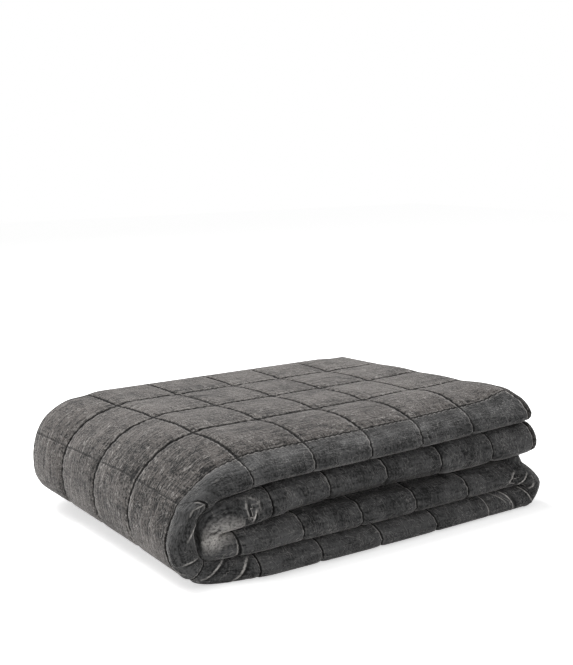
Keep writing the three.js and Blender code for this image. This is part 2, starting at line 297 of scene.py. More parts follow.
CROSS_SEAMS += THIRD_SEAMS + [INNER_WRAP] + SECOND_SEAMS

# Seams that show only faintly, because the cloth is pulled flat or gathered across them: how much
# of the seam is lost, and the places v between which it comes back.
FAINT_SEAMS = (
    {"u": LEFT_ROW, "lost": 0.5, "back_from": 430.0, "back_at": 438.0},
    {"u": RIGHT_FOLD_SEAM, "lost": 0.6, "back_from": 900.0, "back_at": 910.0},
    {"u": THIRD_SEAMS[0], "lost": 0.9, "back_from": 470.0, "back_at": 500.0},
    {"u": INNER_WRAP, "lost": 1.0, "back_from": 470.0, "back_at": 500.0},
)
FAINT_REACH = 12.0

# Long seams, as distances v from the same hem at the back.
LONG_SEAMS = [SQUARE * k for k in range(1, 18)]

EDGE_U = (BINDING_WIDTH + SEAM_GAP, along.total - BINDING_WIDTH - SEAM_GAP)
EDGE_V = (BINDING_WIDTH + SEAM_GAP, across.total - BINDING_WIDTH - SEAM_GAP)

CELLS_PER_SQUARE = 4
FINE = 16  # finest steps in one cell
SEAM_CROWDING = 0.5  # how much closer the steps stand beside a seam
CREASED_STRETCHES = ((LEFT_ROW, BOTTOM_SEAMS[0]), (BOTTOM_SEAMS[-1], THIRD_SEAMS[0]),
                     (THIRD_SEAMS[-1], SECOND_SEAMS[0]))

# The skin stands out by height between seams and is drawn in by groove at them.
PUFF = {"height": 2.9, "groove": 0.5, "front_groove": 1.7, "reach": 3.8, "pressed": 0.2}

# Rows of squares that bulge as the cloth is folded: both skins stand out together. Each bulge has
# the stretch of u over which it is full, the places v where it starts and ends, and its height.
ROW_BULGES = (
    {"from": 0.0, "to": 560.0, "start": LONG_SEAMS[2] - 2, "end": LONG_SEAMS[3] + 2, "height": 3.2},
    {"from": 110.0, "to": 500.0, "start": LONG_SEAMS[2], "end": LONG_SEAMS[3] + 6, "height": 3.8},
    {"from": 0.0, "to": 520.0, "start": LONG_SEAMS[3] - 2, "end": LONG_SEAMS[3] + 46, "height": -4.0},
    {"from": 0.0, "to": 600.0, "start": LONG_SEAMS[1], "end": LONG_SEAMS[2], "height": 1.4},
    {"from": 0.0, "to": 600.0, "start": LONG_SEAMS[0], "end": LONG_SEAMS[1], "height": 1.6},
    {"from": 70.0, "to": 580.0, "start": -60.0, "end": LONG_SEAMS[0], "height": 2.4},
    {"from": 560.0, "to": 650.0, "start": -60.0, "end": LONG_SEAMS[0], "height": 5.4},
    {"from": 0.0, "to": 20.0, "start": LONG_SEAMS[3] - 25, "end": 465.0, "height": 4.6},
)
BULGE_FADE = 40.0

# Creases where the cloth is gathered or pressed. Each runs from a start over a middle to an end, as
# (u, v), with its height, the width of its flank, the side on which it falls steeply into painted
# shade (1 for larger u, -1 for smaller u, 0 for neither), and how pale its ridge is, partly from wear
# and partly as painted highlight. One with a height below 0 is a hollow, with painted shade in its
# depth.
CREASES = (
    # Front of the outer wrap, where the row of quilting ends and the rim is pinched.
    ((590, 455), (593, 460), (598, 464), 1.6, 8.0, 0, 0.0),
    ((576, 428), (577, 440), (582, 456), -2.4, 2.4, 0, 0.0),
    ((617, 440), (606, 447), (595, 457), 1.8, 2.4, 0, 0.9),
    ((616, 460), (626, 453), (638, 444), 2.2, 2.2, 0, 1.0),
    ((663, 434), (664, 444), (670, 458), 2.0, 2.2, 1, 0.9),
    ((672, 445), (678, 444), (684, 443), 2.4, 7.5, 0, 0.0),
    ((655, 406), (666, 420), (677, 432), 1.4, 2.0, 0, 0.9),
    # Gathers of the bottom layer beside the wrap.
    ((713, 463), (704, 450), (692, 434), 2.4, 2.6, 1, 0.9),
    ((744, 460), (730, 445), (719, 426), 2.4, 2.6, 1, 0.9),
    ((728, 424), (738, 421), (744, 428), 1.0, 2.2, 0, 0.6),
    # Lobes inside the inner wrap.
    ((1849, 452), (1843, 445), (1832, 452), 2.0, 2.0, -1, 1.0),
    ((1851, 457), (1856, 448), (1852, 441), 2.6, 6.0, 0, 0.0),
    ((1833, 457), (1843, 457), (1853, 456), -3.4, 4.6, 0, 0.0),
    ((1849, 446), (1853, 437), (1862, 438), -3.0, 2.6, 0, 0.0),
    ((1852, 438), (1847, 448), (1840, 458), -1.2, 9.0, 0, 0.0),
    ((1877, 460), (1880, 450), (1887, 440), 2.2, 3.2, 1, 0.3),
    # Gathers of the second layer, and the hollow under them.
    ((1893, 459), (1898, 454), (1905, 452), 1.2, 2.0, 0, 0.6),
    ((1893, 455), (1888, 446), (1890, 436), 1.4, 1.9, 1, 0.8),
    ((1908, 452), (1904, 447), (1905, 440), 1.2, 1.9, 1, 0.6),
    ((1900, 445), (1896, 440), (1893, 433), 1.6, 1.9, 1, 1.0),
    ((1940, 430), (2085, 430), (2230, 431), -5.0, 8.0, 0, 0.0),
    ((1700, 421), (1570, 420), (1440, 421), -2.0, 6.0, 0, 0.0),
    # Gathers of the right fold.
    ((1318, 433), (1333, 441), (1349, 452), 2.4, 3.2, -1, 0.8),
    ((1297, 436), (1311, 447), (1335, 454), 3.0, 2.8, -1, 1.0),
    ((1291, 438), (1298, 447), (1302, 456), -3.0, 3.4, 0, 0.0),
    ((1302, 459), (1280, 457), (1258, 453), 1.6, 2.4, 0, 0.8),
    ((1255, 452), (1268, 449), (1283, 443), 1.6, 2.2, 0, 0.9),
    ((1228, 461), (1239, 449), (1247, 432), 2.4, 2.6, 1, 0.9),
    ((1184, 463), (1199, 451), (1204, 430), 2.4, 2.6, 1, 1.0),
    ((1205, 455), (1211, 443), (1214, 430), -2.6, 3.6, 0, 0.0),
    ((1172, 462), (1184, 453), (1193, 444), 1.6, 2.2, 1, 0.8),
)


def distance_to_seam(place, seams, low, high):
    """Distance in cloth lengths from each place to its nearest seam or edge."""
    lines = np.array([low] + list(seams) + [high])
    k = np.clip(np.searchsorted(lines, place, side="right") - 1, 0, len(lines) - 2)
    return np.minimum(place - lines[k], lines[k + 1] - place)


def even_distances(u, v):
    """Distances from each point to the nearest cross seam and to the nearest long one."""
    return (distance_to_seam(u, CROSS_SEAMS, *EDGE_U), distance_to_seam(v, LONG_SEAMS, *EDGE_V))


def free_share(u, v):
    """How free the outer skin is to puff: 1 in the open, 0 where layers or plies press on it."""
    starts_u, starts_v = along.starts(), across.starts()
    front = np.clip((v - starts_v[1]) / (starts_v[2] - starts_v[1]), 0, 1)
    open_front = np.sin(front * math.pi) ** 1.2
    back = np.clip((v - starts_v[3]) / (starts_v[4] - starts_v[3]), 0, 1)
    open_back = np.sin(back * math.pi)
    on_top = smooth(starts_u[2] + 30, starts_u[2] - 30, u) * (front < 0.5)
    on_fold = smooth(starts_u[3] - 20, starts_u[3] + 12, u) * smooth(
        starts_u[4] + 20, starts_u[4] - 12, u) * (front < 0.5)
    return np.maximum.reduce([open_front, open_back, on_top, on_fold])


def even_swell(u, v):
    """Swell of the skin between its seams, 0 at a seam and 1 well away from it."""
    to_cross, to_long = even_distances(u, v)
    return (1 - np.exp(-to_cross / PUFF["reach"])) * (1 - np.exp(-to_long / PUFF["reach"]))


def faintness(u, v):
    """How much of the nearest cross seam is lost at each point."""
    faint = np.zeros_like(u)
    for seam in FAINT_SEAMS:
        here = np.exp(-((u - seam["u"]) / FAINT_REACH) ** 4) * seam["lost"]
        here = here * (1 + 0.8 * smooth(396, 410, v)) * smooth(seam["back_at"], seam["back_from"], v)
        faint = np.maximum(faint, np.minimum(here, 1))
    return faint


# How a crease is shaped: the middle and the width of its steep side in widths of its flank, how deep
# that side is in heights of its ridge, the depth at which the painted shade of a hollow is full, and
# how far past its ends a crease is worked out.
CREASE = {"fall": 1.5, "fall_width": 0.7, "fall_depth": 0.75, "dark_depth": 3.0, "ends": 30.0}
FAR = 40.0  # distance given to a point that is near no crease
CREASE_STEPS = 33


def crease_field(u, v):
    """The creases: their rise, how far each point is from the nearest one and on its shaded side,
    how pale that one is there, partly from wear and partly as painted highlight, how much painted
    shade lies on its steep side there, and how dark the painted shade of its hollow is."""
    rise, pale_there, shade_there, hollow_shade = (np.zeros_like(u) for _ in range(4))
    beside = np.full_like(u, FAR)
    t = np.linspace(0, 1, CREASE_STEPS)
    for start, middle, end, height, width, side, pale in CREASES:
        start, middle, end = (np.array(point, float) for point in (start, middle, end))
        bend = 2 * middle - (start + end) / 2
        line = (1 - t[:, None]) ** 2 * start + 2 * (t * (1 - t))[:, None] * bend
        line = line + t[:, None] ** 2 * end
        reach = CREASE["ends"] + max(np.hypot(*(start - middle)), np.hypot(*(end - middle)))
        near = np.nonzero(np.hypot(u - middle[0], v - middle[1]) < reach)[0]
        heading = np.gradient(line, axis=0)
        du, dv = u[near, None] - line[:, 0], v[near, None] - line[:, 1]
        gap = np.hypot(du, dv)
        turned = np.sign((heading[:, 0] * dv - heading[:, 1] * du) * -np.sign(end[1] - start[1]))
        closest = gap.argmin(1)
        rows = np.arange(len(near))
        gap, turned = gap[rows, closest], turned[rows, closest]
        fade = np.sqrt(np.sin(math.pi * t[closest]))
        ridge = np.exp(-(gap / width) ** 2) * fade
        shaded_gap = gap * turned * side if side else gap
        past_fall = (shaded_gap / width - CREASE["fall"]) / CREASE["fall_width"]
        fall = np.exp(-past_fall ** 2) * fade * abs(side)
        rise[near] += height * (ridge - CREASE["fall_depth"] * fall)
        # A hollow gets painted shade in its depth.
        if height < 0:
            depth = np.clip(-height / CREASE["dark_depth"], 0, 1)
            hollow_shade[near] = np.maximum(hollow_shade[near], depth * ridge)
        elif pale > 0:
            closer = gap < np.abs(beside[near])
            beside[near] = np.where(closer, shaded_gap, beside[near])
            pale_there[near] = np.where(closer, pale * fade, pale_there[near])
            shade_there[near] = np.where(closer, abs(side) * fade, shade_there[near])
    return rise, beside, pale_there, shade_there, hollow_shade


def row_bulge(u, v):
    """How far both skins stand out where a row of squares bulges."""
    out = np.zeros_like(u)
    for row in ROW_BULGES:
        share = np.clip((v - row["start"]) / (row["end"] - row["start"]), 0, 1)
        here = smooth(row["to"] + BULGE_FADE, row["to"], u)
        if row["from"] > 0:
            here = here * smooth(row["from"] - BULGE_FADE, row["from"], u)
        out += row["height"] * np.sin(math.pi * share ** 1.2) * here
    return out


# Where painted shade darkens the pile: the rows on a front, the stretches u of the top layer with
# their shares, the darkest rows below the first seam, the lower edge where the shade is less, and
# the wrap's shoulder.
SHADED_ROWS = ((399.0, 403.0), (476.0, 462.0))
SHADED_TOP = (((560.0, 520.0), 0.7), ((520.0, 260.0), 0.6))
DARKEST_ROWS = {"rows": (434.0, 412.0), "more": 1.6}
LOWER_EDGE = {"row": 457.0, "width": 6.0, "less": 1.6}
SHOULDER = {"left": (520.0, 590.0), "foot": (720.0, 650.0), "rows": (90.0, 210.0), "end": 400.0,
            "pressed": 1.1}


def front_shade(u, v):
    """How much painted shade darkens the pile: on the fronts of the layers, less along their lower
    edges and most below the first seam of the top layer's front, and on the wrap's shoulder."""
    starts = along.starts()
    fronts = smooth(*SHADED_ROWS[0], v) * smooth(*SHADED_ROWS[1], v)
    top_layer = sum(share * smooth(*stretch, u) for stretch, share in SHADED_TOP)
    darkest = 1 + DARKEST_ROWS["more"] * smooth(*DARKEST_ROWS["rows"], v)
    flat = top_layer * darkest + (u > starts[3])
    faces_up = (u < starts[2]) | ((u > starts[4]) & (u < starts[5]))
    lower_edge = np.exp(-((v - LOWER_EDGE["row"]) / LOWER_EDGE["width"]) ** 2) * faces_up
    shoulder = smooth(*SHOULDER["left"], u) * smooth(*SHOULDER["foot"], u)
    shoulder = shoulder * smooth(*SHOULDER["rows"], v) * (v < SHOULDER["end"])
    return fronts * flat * (1 - LOWER_EDGE["less"] * lower_edge) + shoulder * SHOULDER["pressed"]


def relief(u, v, swell):
    """How far the outer skin stands out from the quilt's even thickness."""
    top = PUFF["pressed"] + (PUFF["height"] - PUFF["pressed"]) * free_share(u, v)
    _, to_row = even_distances(u, v)
    beside_row = 1 - np.exp(-to_row / PUFF["reach"])
    swell = swell + (beside_row - swell) * np.minimum(faintness(u, v) * 1.5, 1)
    groove = PUFF["groove"] + (PUFF["front_groove"] - PUFF["groove"]) * smooth(402, 425, v)
    return swell * (top + groove) - groove


def lit_sides(u, v):
    """1 on the side of each cross and long seam that gets a painted highlight, and 0 on the side
    whose painted shade is widened. Along the stack the painted highlight is on the side towards the
    wraps in every layer."""
    starts = along.starts()
    turn_middles = [(starts[k] + starts[k + 1]) / 2 for k in (1, 3, 5)]
    towards_wraps = np.searchsorted(turn_middles, u) % 2 == 0
    cross = np.array([EDGE_U[0]] + CROSS_SEAMS + [EDGE_U[1]])
    k = np.abs(cross[:, None] - u[None, :]).argmin(0)
    rows = np.array([EDGE_V[0]] + LONG_SEAMS + [EDGE_V[1]])
    j = np.abs(rows[:, None] - v[None, :]).argmin(0)
    lit_cross = np.where(towards_wraps, u > cross[k], u < cross[k])
    return lit_cross * 1.0, (v > rows[j]) * 1.0


# Places at which a part of the stack has no share yet and at which it is whole, along u or v.
TOP_FROM_FRONT = (414.0, 396.0)
TOP_FROM_WRAP = (600.0, 540.0)
REAR_ROWS = (356.0, 340.0)
WRAP_FROM_BOTTOM = (760.0, 735.0)
FRONT_FROM_TOP = (399.0, 408.0)
FRONT_FROM_BELOW = (480.0, 462.0)
FRONT_SEAM_ROWS = (402.0, 418.0)
DRAWN_OUT = ((700.0, 70.0), (1868.0, 80.0))  # u and width of the stretches that the wraps draw out

# How much wider a seam's painted shade is on its unlit side, how much of that is lost on its lit
# side, how much wider it is on a front, and how much the wraps draw it out.
WIDER = {"cross": 1.5, "cross_lit": 1.3, "long": 1.7, "long_lit": 1.4, "front": 0.3,
         "drawn_out": 0.9}


def painted_distances(u, v):
    """Distances to the seams as their painted shade shows them: on the top, where the cloth is pulled
    flat, the painted shade beside a seam is wider on the side away from its painted highlight. At the
    wraps the skin is drawn out along u, so that a seam there is as narrow as elsewhere."""
    to_cross, to_long = even_distances(u, v)
    on_top = smooth(*TOP_FROM_WRAP, u)
    flat = smooth(*TOP_FROM_FRONT, v) * on_top
    rear = smooth(*REAR_ROWS, v) * (0.5 + 0.5 * on_top) * smooth(*WRAP_FROM_BOTTOM, u)
    lit_cross, lit_long = lit_sides(u, v)
    front = smooth(*FRONT_SEAM_ROWS, v) * WIDER["front"]
    drawn_out = np.zeros_like(u)
    for place, width in DRAWN_OUT:
        drawn_out += np.exp(-((u - place) / width) ** 2)
    wider_cross = 1 + (WIDER["cross"] - WIDER["cross_lit"] * lit_cross) * flat + front
    wider_long = 1 + (WIDER["long"] - WIDER["long_lit"] * lit_long) * rear
    return to_cross * (1 + WIDER["drawn_out"] * drawn_out) / wider_cross, to_long / wider_long


def slipped(u, v):
    """Place u along the cloth of each point of the quilting, once the top has slipped."""
    marks = [SLIP_ENDS[0]] + [seam["u"] for seam in TOP_SEAMS] + [SLIP_ENDS[1]]
    rear = np.interp(u, marks, [0] + [seam["rear_slip"] for seam in TOP_SEAMS] + [0])
    front = np.interp(u, marks, [0] + [seam["front_slip"] for seam in TOP_SEAMS] + [0])
    return u + rear * np.clip(1 - v / 400, 0, 1) + front * smooth(405, 450, v)


# ---- Simulated skin ----

# The skin is simulated flat, with one square as its unit of length: it is held along the stitching,
# has a little more cloth than fits, and is blown up from below until it puckers along the seams.
SIMULATION = {"frames": 18, "pressure": 6.0, "extra_cloth": 0.028, "tension": 22.0, "bending": 0.06}
FULL_SWELL = 0.024  # in squares
ON_SEAM = 0.01  # a corner this near to a seam is stitched down
LEFT_IN_SKIN = 0.75  # how much of its sideways shift the skin keeps
CREASE_SHIFT = 0.012  # in squares: uneven cloth that gives each square its own creases


def lattice_noise(x, y, seed):
    """Smooth noise from -1 to 1 with a feature size of one unit."""
    table = np.random.default_rng(seed).uniform(-1, 1, (256, 256))
    i, j = np.floor(x).astype(int), np.floor(y).astype(int)
    fx, fy = x - i, y - j
    fx, fy = fx * fx * (3 - 2 * fx), fy * fy * (3 - 2 * fy)
    corner = [[table[(i + a) % 256, (j + b) % 256] for b in (0, 1)] for a in (0, 1)]
    low = corner[0][0] * (1 - fx) + corner[1][0] * fx
    high = corner[0][1] * (1 - fx) + corner[1][1] * fx
    return low * (1 - fy) + high * fy


def simulated_skin(x, y, faces, held):
    """Offsets (dx, dy, dz), in squares, of a flat skin held at its seams and blown up."""
    shift = [lattice_noise(x * 4.3, y * 4.3, seed) * CREASE_SHIFT for seed in (11, 12)]
    start = np.stack([x, y, np.where(held, 0, 0.003)], -1)
    skin = bpy.data.meshes.new("skin")
    skin.from_pydata(start.tolist(), [], faces)
    obj = bpy.data.objects.new("skin", skin)
    bpy.context.scene.collection.objects.link(obj)
    obj.shape_key_add(name="lying")
    cut = obj.shape_key_add(name="cut")
    cut.points.foreach_set("co", (start + np.stack([*shift, x * 0], -1)).astype(np.float32).ravel())
    seam = obj.vertex_groups.new(name="stitched")
    seam.add(np.nonzero(held)[0].tolist(), 1.0, "REPLACE")
    cloth = obj.modifiers.new("cloth", "CLOTH")
    cloth.collision_settings.use_collision = False
    set_to = cloth.settings
    set_to.rest_shape_key = cut
    set_to.vertex_group_mass = seam.name
    set_to.quality = 5
    set_to.tension_stiffness = set_to.compression_stiffness = SIMULATION["tension"]
    set_to.bending_stiffness = SIMULATION["bending"]
    set_to.use_pressure = True
    set_to.uniform_pressure_force = SIMULATION["pressure"]
    set_to.shrink_min = -SIMULATION["extra_cloth"]
    set_to.effector_weights.gravity = 0
    cloth.point_cache.frame_end = SIMULATION["frames"]
    for step in range(1, SIMULATION["frames"] + 1):
        bpy.context.scene.frame_set(step)
    blown = obj.evaluated_get(bpy.context.evaluated_depsgraph_get()).data
    points = np.empty(len(x) * 3)
    blown.vertices.foreach_get("co", points)
    bpy.context.scene.frame_set(1)
    bpy.data.objects.remove(obj)
    return points.reshape(-1, 3) - start * (1, 1, 0)


# ---- Meshes ----


def cell_lines(seams, low, high):
    """Cell edges: each stretch between seams is cut into the same number of cells."""
    marks = [low] + [s for s in seams if low + 1 < s < high - 1] + [high]
    lines = []
    for a, b in zip(marks, marks[1:]):
        count = max(1, round(CELLS_PER_SQUARE * (b - a) / SQUARE)) if b - a > 40 else 1
        lines += [a + (b - a) * k / count for k in range(count)]
    return np.array(lines + [high])


def skin_faces(levels):
    """Faces of a grid of cells, each cut into 2 ** level steps a side, with no gaps between cells.

    Corners are (i, j) in finest steps. A face beside a finer cell takes in that cell's corners.
    """
    steps = FINE // (2 ** levels)
    count_i, count_j = levels.shape
    faces = []
    for ci in range(count_i):
        for cj in range(count_j):
            s = steps[ci, cj]
            near = {
                "left": steps[ci - 1, cj] if ci > 0 else s,
                "right": steps[ci + 1, cj] if ci < count_i - 1 else s,
                "low": steps[ci, cj - 1] if cj > 0 else s,
                "high": steps[ci, cj + 1] if cj < count_j - 1 else s,
            }
            i0, j0, end_i, end_j = ci * FINE, cj * FINE, (ci + 1) * FINE, (cj + 1) * FINE
            for i in range(i0, end_i, s):
                for j in range(j0, end_j, s):
                    low = near["low"] if j == j0 and near["low"] < s else s
                    right = near["right"] if i + s == end_i and near["right"] < s else s
                    high = near["high"] if j + s == end_j and near["high"] < s else s
                    left = near["left"] if i == i0 and near["left"] < s else s
                    face = [(k, j) for k in range(i, i + s, low)]
                    face += [(i + s, k) for k in range(j, j + s, right)]
                    face += [(k, j + s) for k in range(i + s, i, -high)]
                    face += [(i, k) for k in range(j + s, j, -left)]
                    faces.append(face)
    return faces


def rim_corners(faces, size_i, size_j):
    """The corners used on each side of a skin, in order."""
    used = {corner for face in faces for corner in face}
    sides = []
    for axis, at in ((1, 0), (0, size_i), (1, size_j), (0, 0)):
        line = sorted(c for c in used if c[axis] == at)
        sides.append(line)
    return sides


def closed_quilt(levels_outer, levels_inner):
    """Corners (i, j, side) and faces of two skins joined round their rims."""
    size_i, size_j = levels_outer.shape[0] * FINE, levels_outer.shape[1] * FINE
    index, corners, faces = {}, [], []

    def corner(i, j, side):
        key = (i, j, side)
        if key not in index:
            index[key] = len(corners)
            corners.append(key)
        return index[key]

    skins = {}
    for side, levels in ((1, levels_outer), (-1, levels_inner)):
        skin = skin_faces(levels)
        skins[side] = rim_corners(skin, size_i, size_j)
        for face in skin:
            loop = [corner(i, j, side) for i, j in face]
            faces.append(loop if side < 0 else loop[::-1])
    for outer, inner in zip(skins[1], skins[-1]):
        for a, b in zip(inner, inner[1:]):
            between = [c for c in outer if a <= c <= b]
            loop = [corner(*a, -1), corner(*b, -1)] + [corner(*c, 1) for c in between[::-1]]
            faces.append(loop)
    return np.array(corners), faces


def make_object(name, points, faces, material=None):
    mesh = bpy.data.meshes.new(name)
    mesh.from_pydata(points.tolist(), [], faces)
    mesh.validate()
    outward = bmesh.new()
    outward.from_mesh(mesh)
    bmesh.ops.recalc_face_normals(outward, faces=outward.faces)
    outward.to_mesh(mesh)
    outward.free()
    mesh.shade_smooth()
    if material:
        mesh.materials.append(material)
    obj = bpy.data.objects.new(name, mesh)
    bpy.context.scene.collection.objects.link(obj)
    return obj


def add_attribute(obj, name, kind, values):
    attribute = obj.data.attributes.new(name, kind, "POINT")
    field = "vector" if kind == "FLOAT_VECTOR" else "value"
    attribute.data.foreach_set(field, np.ascontiguousarray(values, np.float32).ravel())


def bend_of(obj):
    """Mean curvature at each corner, per metre: above 0 on ridges and below 0 in grooves."""
    mesh = obj.data
    count = len(mesh.vertices)
    points, normals = np.empty(count * 3), np.empty(count * 3)
    mesh.vertices.foreach_get("co", points)
    mesh.vertices.foreach_get("normal", normals)
    points, normals = points.reshape(-1, 3), normals.reshape(-1, 3)
    ends = np.empty(len(mesh.edges) * 2, int)
    mesh.edges.foreach_get("vertices", ends)
    a, b = ends.reshape(-1, 2).T
    step = points[b] - points[a]
    along_edge = ((normals[b] - normals[a]) * step).sum(1) / np.maximum((step ** 2).sum(1), 1e-12)
    total, times = np.zeros(count), np.zeros(count)
    for end in (a, b):
        np.add.at(total, end, along_edge)
        np.add.at(times, end, 1)
    return total / np.maximum(times, 1)


BACK_FOLD_MARGIN = 30.0  # how far the finer cells reach on each side of the back fold
HEM_MARGIN = 40.0  # and how far from the hem


def quilt_levels(lines_u, lines_v):
    """How finely each cell of the outer skin is cut: most where it shows best and is creased."""
    mid_u = (lines_u[1:] + lines_u[:-1]) / 2
    mid_v = (lines_v[1:] + lines_v[:-1]) / 2
    u, v = np.meshgrid(mid_u, mid_v, indexing="ij")
    starts_v = across.starts()
    shown_outside = (u < BOTTOM_SEAMS[0]) | ((u > BOTTOM_SEAMS[-1]) & (u < THIRD_SEAMS[0]))
    levels = np.zeros(u.shape, int)
    levels[v < starts_v[1]] = 1
    levels[(v > starts_v[3] - BACK_FOLD_MARGIN) & (v < starts_v[4] + BACK_FOLD_MARGIN)] = 2
    levels[v < HEM_MARGIN] = 2
    levels[(v < LONG_SEAMS[4]) & shown_outside] = 3
    in_front = (v > LONG_SEAMS[3]) & (v < LONG_SEAMS[4])
    levels[in_front] = 3
    for low, high in CREASED_STRETCHES:
        levels[in_front & (u > low) & (u < high)] = 4
    return levels


def stretched_places(index, lines, seams, low, high):
    """Distances along the cloth for finest steps counted by index, set closer beside seams."""
    even = np.interp(index / FINE, np.arange(len(lines)), lines)
    marks = np.array([low] + list(seams) + [high])
    k = np.clip(np.searchsorted(marks, even - 1e-6, side="right") - 1, 0, len(marks) - 2)
    width = marks[k + 1] - marks[k]
    share = (even - marks[k]) / width
    return marks[k] + width * (share - SEAM_CROWDING * np.sin(2 * math.pi * share) / (2 * math.pi))


def in_squares(place, seams, low, high):
    """Distances along the cloth counted in squares, each stretch between seams being one."""
    first, last = (seams[0] - low) / SQUARE, (high - seams[-1]) / SQUARE
    marks = [-first] + list(range(len(seams))) + [len(seams) - 1 + last]
    return np.interp(place, [low] + list(seams) + [high], marks)


def skin_offsets(u, v, corners, faces, levels):
    """Shifts along u and v, and the swell, of the finely cut part of the outer skin."""
    swell = even_swell(u, v)
    du, dv = np.zeros_like(u), np.zeros_like(v)
    fine_faces = {3: [], 4: []}
    for face in faces:
        i, j = corners[face, 0].mean(), corners[face, 1].mean()
        if corners[face[0], 2] > 0 and corners[face[-1], 2] > 0 and len(face) == 4:
            level = levels[int(i // FINE), int(j // FINE)]
            if level in fine_faces:
                fine_faces[level].append(face)
    for level in (3, 4):
        fine_face = np.array(fine_faces[level])
        used = np.unique(fine_face)
        renumber = np.full(len(corners), -1)
        renumber[used] = np.arange(len(used))
        facing_up = renumber[fine_face[:, ::-1]].tolist()
        uu, vv = u[used], v[used]
        x = in_squares(uu, CROSS_SEAMS, *EDGE_U)
        y = in_squares(vv, LONG_SEAMS, *EDGE_V)
        to_cross, to_long = even_distances(uu, vv)
        held = (to_cross < ON_SEAM) | (to_long < ON_SEAM)
        moved = simulated_skin(x, y, facing_up, held)
        free = ~held
        swell[used] = np.where(free, np.tanh(moved[:, 2] / FULL_SWELL), swell[used])
        du[used] = np.where(free, moved[:, 0] * SQUARE * LEFT_IN_SKIN, du[used])
        dv[used] = np.where(free, moved[:, 1] * SQUARE * LEFT_IN_SKIN, dv[used])
    return du, dv, swell


def quilt_piece(material):
    lines_u = cell_lines(CROSS_SEAMS, *EDGE_U)
    lines_v = cell_lines(LONG_SEAMS, *EDGE_V)
    levels = quilt_levels(lines_u, lines_v)
    corners, faces = closed_quilt(levels, np.zeros_like(levels))
    u = stretched_places(corners[:, 0], lines_u, CROSS_SEAMS, *EDGE_U)
    v = stretched_places(corners[:, 1], lines_v, LONG_SEAMS, *EDGE_V)
    side = corners[:, 2]
    outer = side > 0
    du, dv, swell = skin_offsets(u, v, corners, faces, levels)
    w = side * QUILT_THICKNESS / 2
    rise, beside, pale, shade, hollow_shade = crease_field(u, v)
    w[outer] += (relief(u, v, swell) + rise)[outer]
    w += row_bulge(u, v)
    points = cloth_points(slipped(u + du, v), v + dv, w)
    points[:, 2] = np.maximum(points[:, 2], 0)
    quilt = make_object("bedspread_quilt", points, faces, material)
    add_attribute(quilt, "cloth", "FLOAT_VECTOR", np.stack([u, v, side * 40.0], -1) * MM)
    to_cross, to_long = painted_distances(u, v)
    to_hem = np.minimum.reduce([u - EDGE_U[0], EDGE_U[1] - u, v - EDGE_V[0], EDGE_V[1] - v])
    add_attribute(quilt, "seam", "FLOAT_VECTOR", np.stack([to_cross, to_long, to_hem], -1) * MM)
    # The side of each seam that gets the painted highlight, and how faint each cross seam is.
    lit_cross, lit_long = lit_sides(u, v)
    add_attribute(quilt, "lit_side", "FLOAT_VECTOR", np.stack([lit_cross, lit_long, faintness(u, v)], -1))
    add_attribute(quilt, "crease", "FLOAT_VECTOR", np.stack([beside * MM, pale, shade], -1))
    on_front = smooth(*FRONT_FROM_TOP, v) * smooth(*FRONT_FROM_BELOW, v)
    # The painted shade of the hollows and of the fronts, and how much of a front each point is.
    shade_and_front = np.stack([hollow_shade, front_shade(u, v), on_front], -1)
    add_attribute(quilt, "shade_and_front", "FLOAT_VECTOR", shade_and_front)
    add_attribute(quilt, "bend", "FLOAT", bend_of(quilt))
    return quilt


BINDING_SECTION = (
    (-0.6, 3.6), (0.8, 4.5), (3.0, 4.9), (6.0, 4.4), (8.5, 3.0), (9.8, 1.2), (10.0, 0.0),
)
RIM_STEP = 5.0


def rim_places(low, high):
    count = max(2, round((high - low) / RIM_STEP))
    return np.linspace(low, high, count + 1)


def binding_piece(material):
    """The bound edge: one rounded strip round the rim, mitred at its corners."""
    us = rim_places(BINDING_WIDTH, along.total - BINDING_WIDTH)
    vs = rim_places(BINDING_WIDTH, across.total - BINDING_WIDTH)
    rim = [(u, vs[0], 0, -1) for u in us] + [(us[-1], v, 1, 0) for v in vs]
    rim += [(u, vs[-1], 0, 1) for u in us[::-1]] + [(us[0], v, -1, 0) for v in vs[::-1]]
    merged = []
    for u, v, du, dv in rim:
        if merged and merged[-1][:2] == (u, v):
            u, v, last_u, last_v = merged.pop()
            du, dv = du + last_u, dv + last_v
        merged.append((u, v, du, dv))
    u, v, last_u, last_v = merged.pop()
    merged[0] = (u, v, merged[0][2] + last_u, merged[0][3] + last_v)
    section = [(s, w) for s, w in BINDING_SECTION] + [(s, -w) for s, w in BINDING_SECTION[-2::-1]]
    rim = np.array(merged)
    rows = len(section)
    s, w = np.array(section).T
    u = rim[:, None, 0] + rim[:, None, 2] * s
    v = rim[:, None, 1] + rim[:, None, 3] * s
    wide = np.broadcast_to(w, u.shape)
    points = cloth_points(u.ravel(), v.ravel(), wide.ravel() + row_bulge(u.ravel(), v.ravel()))
    points[:, 2] = np.maximum(points[:, 2], 0)
    faces = []
    for k in range(len(rim)):
        after = (k + 1) % len(rim)
        for r in range(rows):
            up = (r + 1) % rows
            faces.append([k * rows + r, k * rows + up, after * rows + up, after * rows + r])
    binding = make_object("bedspread_binding", points, faces, material)
    cloth = np.stack([u.ravel(), v.ravel(), wide.ravel()], -1) * MM
    add_attribute(binding, "cloth", "FLOAT_VECTOR", cloth)
    add_attribute(binding, "bend", "FLOAT", bend_of(binding))
    return binding


# ---- Materials ----


class Socket:
    """A socket that adds Math nodes when it is used in sums."""

    def __init__(self, tree, socket):
        self.tree, self.socket = tree, socket

    def _math(self, operation, *values):
        return self.tree.add("ShaderNodeMath", {"operation": operation}, values)

    def __add__(self, other):
        return self._math("ADD", self, other)

    def __sub__(self, other):
        return self._math("SUBTRACT", self, other)

    def __rsub__(self, other):
        return self._math("SUBTRACT", other, self)

    def __mul__(self, other):
        return self._math("MULTIPLY", self, other)

    __radd__ = __add__
    __rmul__ = __mul__


